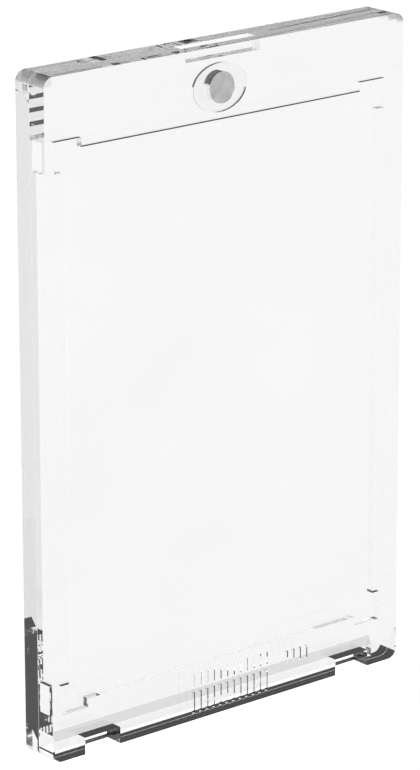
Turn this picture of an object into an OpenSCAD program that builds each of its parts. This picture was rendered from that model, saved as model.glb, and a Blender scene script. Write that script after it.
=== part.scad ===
// Clear two-part display case for one trading card. It stands upright on its bottom edge:
// X runs across, Y from the front to the back, Z up. The origin is under the middle of the base.

/* [Case] */
// Width of the case
case_w = 72.6; // [70:0.2:90]
// Height of the case
case_h = 110.4; // [108:0.2:130]
// Thickness of the front shell, which is the cover that opens
front_t = 3.6; // [3:0.1:6]
// Thickness of the rear shell
rear_t = 3.35; // [2.6:0.05:6]
// Air gap between the two mating faces
mate_gap = 0.05; // [0.02:0.01:0.2]
// Radius of the four corners, seen from the front
corner_r = 1.7; // [0.5:0.1:3]
// Width of the hollow low in the back, which leaves a foot at each end
hollow_w = 67; // [60:0.2:68]
// Depth of that hollow, from the back
hollow_depth = 1.3; // [0.4:0.05:2]
// Height up to which the hollow is at its full depth
hollow_h = 2.03; // [0.5:0.01:3]
// Height at which it has sloped out to the back
slope_top = 3.45; // [3.2:0.05:6]

/* [Card pocket] */
// Width of the card
card_w = 63.5; // [60:0.1:66]
// Height of the card
card_h = 88.9; // [86:0.1:91]
// Room left beside the card, on each side
card_room = 0.25; // [0.1:0.05:0.6]
// Room left above the card and below it
card_room_z = 0.4; // [0.1:0.05:0.6]
// Depth of the pocket in the front shell
pocket_depth = 1.22; // [0.5:0.02:1.8]
// Height of the solid bar under the pocket
sill_h = 8.65; // [6:0.05:12]
// How far the relief at each corner of the pocket reaches past it
relief_reach = 1.5; // [0.6:0.1:2]
// How far the relief runs in along the top and bottom of the pocket
relief_run_x = 3.8; // [2:0.1:8]
// How far the relief runs in along the sides of the pocket
relief_run_z = 3.4; // [2:0.1:8]

/* [Magnet] */
// Diameter of the magnet and of the steel disc that it pulls on
magnet_d = 5; // [3:0.1:6]
// Thickness of the magnet, in the rear shell
magnet_t = 2.25; // [1:0.05:2.4]
// Thickness of the steel disc, in the front shell
keeper_t = 0.25; // [0.2:0.05:1]
// Width of the oval holder round the magnet
holder_w = 10.9; // [8:0.1:14]
// Height of the oval holder
holder_h = 7.9; // [7:0.1:9]
// Depth of the oval well for the holder in the rear shell
well_depth = 0.7; // [0.5:0.1:2]
// From the middle of the magnet to the middle of its holder
holder_shift = -0.25; // [-1:0.05:1]
// From the top of the case down to the middle of the magnet
magnet_drop = 7.15; // [6.5:0.05:8]
// Gap round the magnet, the steel disc and the holder, where they are cemented in
cement_gap = 0.05; // [0.02:0.01:0.1]

/* [Thumb slot] */
// Width of the slot in the top edge
slot_w = 15; // [8:0.2:24]
// From the middle of the case to the middle of the slot
slot_shift = -0.4; // [-2:0.1:2]
// Depth of the slot, down from the top edge
slot_h = 2.05; // [0.8:0.05:2.2]
// How far the slot is cut into the front shell
front_cut = 1.4; // [0.5:0.05:2]
// How far the slot is cut into the rear shell
rear_cut = 0.55; // [0.3:0.05:1.6]

/* [Hinge tabs] */
// Width of each notch in the bottom edge of the front shell
notch_w = 7.1; // [5:0.1:10]
// Height of each notch
notch_h = 2.8; // [2.2:0.1:4]
// From the side of the case to the notch
notch_inset = 6.4; // [4:0.1:12]
// How far each tab stands forward of the rear shell's mating face
tab_len = 0.35; // [0.2:0.05:2.6]
// Clearance between a tab and the notch round it
tab_gap = 0.15; // [0.1:0.05:0.4]

/* [Grooved patch] */
// Depth of the short grooves cut in the front face
groove_depth = 0.25; // [0.1:0.05:0.6]
// Width of each groove
groove_w = 0.6; // [0.3:0.1:0.9]
// From one groove to the next
groove_pitch = 1.4; // [1.1:0.1:2]
// Number of grooves in each long row
groove_count = 12; // [4:1:16]
// Height of the lower row
lower_row_h = 3.6; // [1:0.1:4]
// Height of the upper row
upper_row_h = 2.2; // [1:0.1:3]
// From the base to the lower row
lower_row_z = 1.2; // [0.8:0.1:2]
// Plain stretch between the two rows
row_gap = 0.9; // [0.5:0.1:1.2]
// Number of grooves in the short row beside them
side_count = 4; // [2:1:6]
// Plain stretch between the short row and the long rows
side_gap = 3.8; // [2:0.1:6]

/* [Hidden] */
$fn = 64;

case_t = front_t + mate_gap + rear_t;
front_y = -case_t / 2;
back_y = case_t / 2;
front_mate_y = front_y + front_t;
rear_mate_y = back_y - rear_t;

pocket_w = card_w + 2 * card_room;
pocket_h = card_h + 2 * card_room_z;

magnet_z = case_h - magnet_drop;
holder_t = well_depth - cement_gap;
seat_d = magnet_d + 2 * cement_gap;

notch_x = case_w / 2 - notch_inset - notch_w / 2;
tab_w = notch_w - 2 * tab_gap;
tab_top_z = notch_h - tab_gap;

groove_span = (groove_count - 1) * groove_pitch + groove_w;
upper_row_z = lower_row_z + lower_row_h + row_gap;

// cutting solids run this far past the face that they open
over = 1;

// a rectangle with round corners, standing on the X axis
module case_outline() {
    for (side = [-1, 1], z = [corner_r, case_h - corner_r])
        translate([side * (case_w / 2 - corner_r), z]) circle(r = corner_r);
    translate([-case_w / 2, corner_r]) square([case_w, case_h - 2 * corner_r]);
    translate([-case_w / 2 + corner_r, 0]) square([case_w - 2 * corner_r, case_h]);
}

// the outline as a plate between two depths
module plate(y_front, y_back) {
    translate([0, y_back, 0]) rotate([90, 0, 0]) linear_extrude(height = y_back - y_front) case_outline();
}

// a box that is centred on X and runs from one corner height and depth to another
module bar(width, y_front, y_back, z_low, z_high) {
    translate([-width / 2, y_front, z_low]) cube([width, y_back - y_front, z_high - z_low]);
}

// a disc that faces the front, between two depths, at the magnet's place
module disc(diameter, y_front, y_back) {
    translate([0, y_back, magnet_z]) rotate([90, 0, 0]) cylinder(d = diameter, h = y_back - y_front);
}

// the same with the holder's oval outline
module oval_disc(width, height, y_front, y_back) {
    outline = [for (i = [0 : $fn - 1]) [width / 2 * cos(360 * i / $fn), height / 2 * sin(360 * i / $fn)]];
    translate([holder_shift, y_back, magnet_z])
        rotate([90, 0, 0]) linear_extrude(height = y_back - y_front) polygon(outline);
}

// what the slot in the top edge takes out, between two depths
module thumb_slot(y_front, y_back) {
    translate([slot_shift, 0, 0]) bar(slot_w, y_front, y_back, case_h - slot_h, case_h + over);
}

// the hollow low in the back of the rear shell, which slopes out at its top
module back_hollow() {
    floor_y = back_y - hollow_depth;
    out_y = back_y + over;
    slope = [[floor_y, hollow_h], [back_y, slope_top]];
    profile = concat([[floor_y, -over]], slope, [[out_y, slope_top], [out_y, -over]]);
    rotate([90, 0, 90]) linear_extrude(height = hollow_w, center = true) polygon(profile);
}

// the room for the card, with a relief at each corner
module card_pocket() {
    floor_y = front_mate_y - pocket_depth;
    open_y = front_mate_y + over;
    bar(pocket_w, floor_y, open_y, sill_h, sill_h + pocket_h);
    for (side = [-1, 1], top = [0, 1]) {
        edge_x = side * pocket_w / 2;
        edge_z = sill_h + top * pocket_h;
        low_x = side > 0 ? edge_x - relief_run_x : edge_x - relief_reach;
        low_z = top > 0 ? edge_z - relief_run_z : edge_z - relief_reach;
        translate([low_x, floor_y, low_z])
            cube([relief_run_x + relief_reach, open_y - floor_y, relief_run_z + relief_reach]);
    }
}

// short upright grooves side by side, the first one starting at x
module groove_row(x, z, height, count) {
    for (i = [0 : count - 1])
        translate([x + i * groove_pitch, front_y - over, z]) cube([groove_w, groove_depth + over, height]);
}

module front_shell() {
    color([0.93, 0.96, 0.97, 0.35])
    difference() {
        plate(front_y, front_mate_y);
        card_pocket();
        disc(seat_d, front_mate_y - keeper_t - cement_gap, front_mate_y + over);
        thumb_slot(front_mate_y - front_cut, front_mate_y + over);
        for (side = [-1, 1])
            translate([side * notch_x, 0, 0])
                bar(notch_w, front_y - over, front_mate_y + over, -over, notch_h);
        groove_row(-groove_span / 2, lower_row_z, lower_row_h, groove_count);
        groove_row(-groove_span / 2, upper_row_z, upper_row_h, groove_count);
        groove_row(groove_span / 2 + side_gap, upper_row_z - row_gap, upper_row_h, side_count);
    }
}

module rear_shell() {
    color([0.93, 0.96, 0.97, 0.35])
    difference() {
        union() {
            plate(rear_mate_y, back_y);
            for (side = [-1, 1])
                translate([side * notch_x, 0, 0])
                    bar(tab_w, rear_mate_y - tab_len, rear_mate_y + over, 0, tab_top_z);
        }
        oval_disc(holder_w, holder_h, rear_mate_y - over, rear_mate_y + well_depth);
        disc(seat_d, rear_mate_y - over, rear_mate_y + magnet_t + cement_gap);
        thumb_slot(rear_mate_y - over, rear_mate_y + rear_cut);
        back_hollow();
    }
}

// the magnet's face is level with the rear shell's mating face
module magnet() {
    color("silver") disc(magnet_d, rear_mate_y, rear_mate_y + magnet_t);
}

// the holder fills the well round the magnet
module magnet_holder() {
    disc_w = holder_w - 2 * cement_gap;
    disc_h = holder_h - 2 * cement_gap;
    color([0.93, 0.96, 0.97, 0.35])
    difference() {
        oval_disc(disc_w, disc_h, rear_mate_y, rear_mate_y + holder_t);
        disc(seat_d, rear_mate_y - over, rear_mate_y + holder_t + over);
    }
}

// the steel disc lies level with the front shell's mating face
module keeper_disc() {
    color("silver") disc(magnet_d, front_mate_y - keeper_t, front_mate_y);
}

front_shell();
rear_shell();
magnet();
magnet_holder();
keeper_disc();
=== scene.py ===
from math import sin, cos, radians
import bpy
from mathutils import Matrix, Vector

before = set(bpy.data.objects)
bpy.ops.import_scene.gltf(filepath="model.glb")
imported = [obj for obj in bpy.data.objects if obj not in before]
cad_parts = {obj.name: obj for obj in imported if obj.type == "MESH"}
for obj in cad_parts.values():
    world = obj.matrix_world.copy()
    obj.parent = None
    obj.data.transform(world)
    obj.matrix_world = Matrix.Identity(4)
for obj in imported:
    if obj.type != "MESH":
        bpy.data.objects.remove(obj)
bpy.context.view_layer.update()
scene = bpy.context.scene
print("frame loaded:", ", ".join(sorted(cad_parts)))


# a noise texture lies mostly between these
noiseSpan = (0.3, 0.7)


# small helpers for node trees

def newMaterial(name):
    mat = bpy.data.materials.new(name)
    mat.use_nodes = True
    tree = mat.node_tree
    return mat, tree, tree.nodes["Principled BSDF"], tree.nodes["Material Output"]


def addNode(tree, kind, **settings):
    node = tree.nodes.new(kind)
    for key, value in settings.items():
        if hasattr(node, key):
            setattr(node, key, value)
        else:
            node.inputs[key].default_value = value
    return node


def mathNode(tree, operation, first, second):
    node = addNode(tree, "ShaderNodeMath", operation=operation)
    for socket, value in zip(node.inputs, (first, second)):
        if isinstance(value, (int, float)):
            socket.default_value = value
        else:
            tree.links.new(value, socket)
    return node.outputs[0]


def rangeNode(tree, value, low, high, toLow, toHigh):
    node = addNode(tree, "ShaderNodeMapRange")
    tree.links.new(value, node.inputs["Value"])
    node.inputs["From Min"].default_value = low
    node.inputs["From Max"].default_value = high
    node.inputs["To Min"].default_value = toLow
    node.inputs["To Max"].default_value = toHigh
    return node.outputs["Result"]


# the camera stands left of the case and looks slightly down on it

camera = {
    "place": (-0.3914, -0.4700, 0.2465),
    "turn": radians(39.698),   # round from straight ahead
    "tilt": radians(17.4393),  # down from level
    "roll": radians(0.11123),
    "sensor": 36.0,
    "lens": 188.14,
}


def setCamera(values):
    turn, tilt, roll = values["turn"], values["tilt"], values["roll"]
    ahead = Vector((sin(turn) * cos(tilt), cos(turn) * cos(tilt), -sin(tilt)))
    levelRight = Vector((cos(turn), -sin(turn), 0))
    levelDown = ahead.cross(levelRight)
    right = levelRight * cos(roll) + levelDown * sin(roll)
    down = levelDown * cos(roll) - levelRight * sin(roll)
    data = bpy.data.cameras.new("camera")
    data.sensor_width = values["sensor"]
    data.lens = values["lens"]
    obj = bpy.data.objects.new("camera", data)
    scene.collection.objects.link(obj)
    facing = Matrix((right, -down, -ahead)).transposed().to_4x4()
    obj.matrix_world = Matrix.Translation(Vector(values["place"])) @ facing
    scene.camera = obj


setCamera(camera)
print("camera placed")


# clear acrylic: polished, faintly grey through its depth, with the moulding's slight unevenness

clearPlastic = {
    "tint": 0.955,
    "tintSpread": 0.006,   # how far the tint wanders over the surface
    "tintScale": 45.0,
    "seedShares": (1.0, 0.7, 0.3),
    "index": 1.49,
    "depthColor": 0.5,
    "depthDensity": 5.3,
    "rippleScale": 60.0,
    "rippleHeight": 0.00000015,
    "dustScale": 900.0,
    "dustStart": 0.68,
    "dustFull": 0.8,
    "dustRoughness": 0.003,
    "cornerAcross": 0.0346,  # the two round top corners start here
    "cornerUp": 0.1087,
    "cornerBlur": 0.0004,
    "cornerRoughness": 0.6,  # and are less polished than the rest
}


def makeClearPlastic(name, values, seed):
    mat, tree, shader, out = newMaterial(name)
    place = addNode(tree, "ShaderNodeTexCoord")
    shift = addNode(tree, "ShaderNodeMapping")
    shift.inputs["Location"].default_value = tuple(seed * share for share in values["seedShares"])
    tree.links.new(place.outputs["Object"], shift.inputs["Vector"])
    wander = addNode(tree, "ShaderNodeTexNoise", Scale=values["tintScale"], Detail=1.0)
    tree.links.new(shift.outputs[0], wander.inputs["Vector"])
    low, high = values["tint"] - values["tintSpread"], values["tint"] + values["tintSpread"]
    grey = rangeNode(tree, wander.outputs["Fac"], *noiseSpan, low, high)
    tint = addNode(tree, "ShaderNodeCombineColor")
    for channel in tint.inputs:
        tree.links.new(grey, channel)
    tree.links.new(tint.outputs[0], shader.inputs["Base Color"])
    dust = addNode(tree, "ShaderNodeTexNoise", Scale=values["dustScale"], Detail=2.0)
    tree.links.new(shift.outputs[0], dust.inputs["Vector"])
    start, full = values["dustStart"], values["dustFull"]
    rough = rangeNode(tree, dust.outputs["Fac"], start, full, 0.0, values["dustRoughness"])
    split = addNode(tree, "ShaderNodeSeparateXYZ")
    tree.links.new(place.outputs["Object"], split.inputs[0])
    side, top, blur = values["cornerAcross"], values["cornerUp"], values["cornerBlur"]
    across = mathNode(tree, "ABSOLUTE", split.outputs["X"], 0.0)
    across = rangeNode(tree, across, side, side + blur, 0.0, values["cornerRoughness"])
    up = rangeNode(tree, split.outputs["Z"], top, top + blur, 0.0, 1.0)
    rough = mathNode(tree, "ADD", rough, mathNode(tree, "MULTIPLY", across, up))
    tree.links.new(rough, shader.inputs["Roughness"])
    ripple = addNode(tree, "ShaderNodeTexNoise", Scale=values["rippleScale"], Detail=0.0)
    tree.links.new(shift.outputs[0], ripple.inputs["Vector"])
    bump = addNode(tree, "ShaderNodeBump")
    bump.inputs["Distance"].default_value = values["rippleHeight"]
    tree.links.new(ripple.outputs["Fac"], bump.inputs["Height"])
    tree.links.new(bump.outputs[0], shader.inputs["Normal"])
    shader.inputs["IOR"].default_value = values["index"]
    shader.inputs["Transmission Weight"].default_value = 1.0
    depth = addNode(tree, "ShaderNodeVolumeAbsorption")
    depth.inputs["Color"].default_value = (values["depthColor"],) * 3 + (1.0,)
    depth.inputs["Density"].default_value = values["depthDensity"]
    tree.links.new(depth.outputs[0], out.inputs["Volume"])
    return mat


# nickel plating: satin, with a fine grain and a few duller patches

nickelPlate = {
    "light": (0.64, 0.64, 0.63),
    "dull": (0.54, 0.54, 0.53),
    "dullStop": 0.35,
    "lightStop": 0.65,
    "patchScale": 900.0,
    "grainScale": 9000.0,
    "grainHeight": 0.000004,
    "roughness": 0.34,
    "roughnessSpread": 0.1,
}


def makeNickelPlate(name, values):
    mat, tree, shader, out = newMaterial(name)
    place = addNode(tree, "ShaderNodeTexCoord")
    patches = addNode(tree, "ShaderNodeTexNoise", Scale=values["patchScale"], Detail=3.0)
    tree.links.new(place.outputs["Object"], patches.inputs["Vector"])
    blend = addNode(tree, "ShaderNodeValToRGB")
    tree.links.new(patches.outputs["Fac"], blend.inputs["Fac"])
    dullStop, lightStop = blend.color_ramp.elements
    dullStop.position, lightStop.position = values["dullStop"], values["lightStop"]
    dullStop.color = values["dull"] + (1.0,)
    lightStop.color = values["light"] + (1.0,)
    tree.links.new(blend.outputs["Color"], shader.inputs["Base Color"])
    low = values["roughness"] - values["roughnessSpread"] / 2
    high = low + values["roughnessSpread"]
    rough = rangeNode(tree, patches.outputs["Fac"], *noiseSpan, high, low)
    tree.links.new(rough, shader.inputs["Roughness"])
    grain = addNode(tree, "ShaderNodeTexNoise", Scale=values["grainScale"], Detail=2.0)
    tree.links.new(place.outputs["Object"], grain.inputs["Vector"])
    bump = addNode(tree, "ShaderNodeBump")
    bump.inputs["Distance"].default_value = values["grainHeight"]
    tree.links.new(grain.outputs["Fac"], bump.inputs["Height"])
    tree.links.new(bump.outputs[0], shader.inputs["Normal"])
    shader.inputs["Metallic"].default_value = 1.0
    return mat


finishes = {
    "front_shell": makeClearPlastic("front acrylic", clearPlastic, 0.0),
    "rear_shell": makeClearPlastic("rear acrylic", clearPlastic, 3.1),
    "magnet_holder": makeClearPlastic("holder acrylic", clearPlastic, 7.7),
    "magnet": makeNickelPlate("magnet plating", nickelPlate),
    "keeper_disc": makeNickelPlate("keeper plating", nickelPlate),
}

for nodeName, finish in finishes.items():
    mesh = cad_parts[nodeName].data
    mesh.materials.clear()
    mesh.materials.append(finish)
print("finishes set on", len(finishes), "pieces")


# the floor is white to the camera, and keeps the soft shadow of the case; a painted pool of light glows on
# it right under the case

studioFloor = {
    "half": 6.0,
    "drop": 0.0002,   # just under the base
    "white": 0.06,
    "whiteSpread": 0.01,
    "grainScale": 400.0,
    "glow": 0.97,     # what the camera, mirrors and glass see on top of that
    "paintedPoolUnderCase": 0.4,  # painted pool of light: extra glow painted on the floor right under the case
    "underAcross": 0.0363,
    "underDeep": 0.0035,
    "roughness": 0.9,
}


def addFloor(values):
    half, level = values["half"], -values["drop"]
    mesh = bpy.data.meshes.new("floor")
    corners = [(-half, -half, level), (half, -half, level), (half, half, level), (-half, half, level)]
    mesh.from_pydata(corners, [], [(0, 1, 2, 3)])
    floor = bpy.data.objects.new("floor", mesh)
    scene.collection.objects.link(floor)
    mat, tree, shader, out = newMaterial("floor paper")
    grain = addNode(tree, "ShaderNodeTexNoise", Scale=values["grainScale"], Detail=2.0)
    low, high = values["white"] - values["whiteSpread"], values["white"] + values["whiteSpread"]
    white = rangeNode(tree, grain.outputs["Fac"], 0.0, 1.0, low, high)
    tree.links.new(white, shader.inputs["Base Color"])
    shader.inputs["Roughness"].default_value = values["roughness"]
    shader.inputs["Specular IOR Level"].default_value = 0.0
    ray = addNode(tree, "ShaderNodeLightPath")
    seen = mathNode(tree, "MAXIMUM", ray.outputs["Is Camera Ray"], ray.outputs["Is Glossy Ray"])
    seen = mathNode(tree, "MAXIMUM", seen, ray.outputs["Is Transmission Ray"])
    place = addNode(tree, "ShaderNodeTexCoord")
    split = addNode(tree, "ShaderNodeSeparateXYZ")
    tree.links.new(place.outputs["Object"], split.inputs[0])
    # painted pool of light: within the case's footprint the floor glows brighter, so the glass shows a
    # lighter floor beneath it
    across = mathNode(tree, "ABSOLUTE", split.outputs["X"], 0.0)
    across = mathNode(tree, "LESS_THAN", across, values["underAcross"])
    deep = mathNode(tree, "ABSOLUTE", split.outputs["Y"], 0.0)
    deep = mathNode(tree, "LESS_THAN", deep, values["underDeep"])
    under = mathNode(tree, "MULTIPLY", mathNode(tree, "MULTIPLY", across, deep), values["paintedPoolUnderCase"])
    strength = mathNode(tree, "MULTIPLY", seen, mathNode(tree, "ADD", under, values["glow"]))
    glow = addNode(tree, "ShaderNodeEmission")
    tree.links.new(strength, glow.inputs["Strength"])
    both = addNode(tree, "ShaderNodeAddShader")
    tree.links.new(shader.outputs[0], both.inputs[0])
    tree.links.new(glow.outputs[0], both.inputs[1])
    tree.links.new(both.outputs[0], out.inputs["Surface"])
    mesh.materials.append(mat)


addFloor(studioFloor)


# the room: even soft light, which mirrors and glass see as a white sweep up to the horizon and dark above

studioRoom = {
    "light": 1.0,
    "sweep": 1.0,
    "wall": 0.84,
    "ceiling": 0.03,
    "sweepTop": radians(3.2),
    "wallStart": radians(4.4),
    "wallTop": radians(7.6),
    "ceilingStart": radians(11),
}


def setRoom(values):
    world = bpy.data.worlds.new("studio")
    scene.world = world
    world.use_nodes = True
    tree = world.node_tree
    back = tree.nodes["Background"]
    place = addNode(tree, "ShaderNodeTexCoord")
    split = addNode(tree, "ShaderNodeSeparateXYZ")
    tree.links.new(place.outputs["Generated"], split.inputs[0])
    low, high = sin(values["sweepTop"]), sin(values["wallStart"])
    paper = rangeNode(tree, split.outputs["Z"], low, high, values["sweep"], values["wall"])
    low, high = sin(values["wallTop"]), sin(values["ceilingStart"])
    dark = values["ceiling"] / values["wall"]
    mirrored = mathNode(tree, "MULTIPLY", paper, rangeNode(tree, split.outputs["Z"], low, high, 1.0, dark))
    ray = addNode(tree, "ShaderNodeLightPath")
    sharp = mathNode(tree, "MAXIMUM", ray.outputs["Is Glossy Ray"], ray.outputs["Is Transmission Ray"])
    direct = mathNode(tree, "LESS_THAN", ray.outputs["Diffuse Depth"], 0.5)
    sharpDirect = mathNode(tree, "MULTIPLY", sharp, direct)
    seen = addNode(tree, "ShaderNodeMix", data_type="FLOAT")
    tree.links.new(sharpDirect, seen.inputs["Factor"])
    seen.inputs["A"].default_value = values["light"]
    tree.links.new(mirrored, seen.inputs["B"])
    strength = mathNode(tree, "MAXIMUM", seen.outputs["Result"], ray.outputs["Is Camera Ray"])
    tree.links.new(strength, back.inputs["Strength"])
    back.inputs["Color"].default_value = (1.0, 1.0, 1.0, 1.0)


setRoom(studioRoom)
print("studio lit")


# light passes many faces of clear plastic, so its paths may be long

pathLength = 256
scene.view_settings.view_transform = "Standard"
scene.cycles.max_bounces = pathLength
scene.cycles.glossy_bounces = pathLength
scene.cycles.transmission_bounces = pathLength
scene.cycles.transparent_max_bounces = pathLength
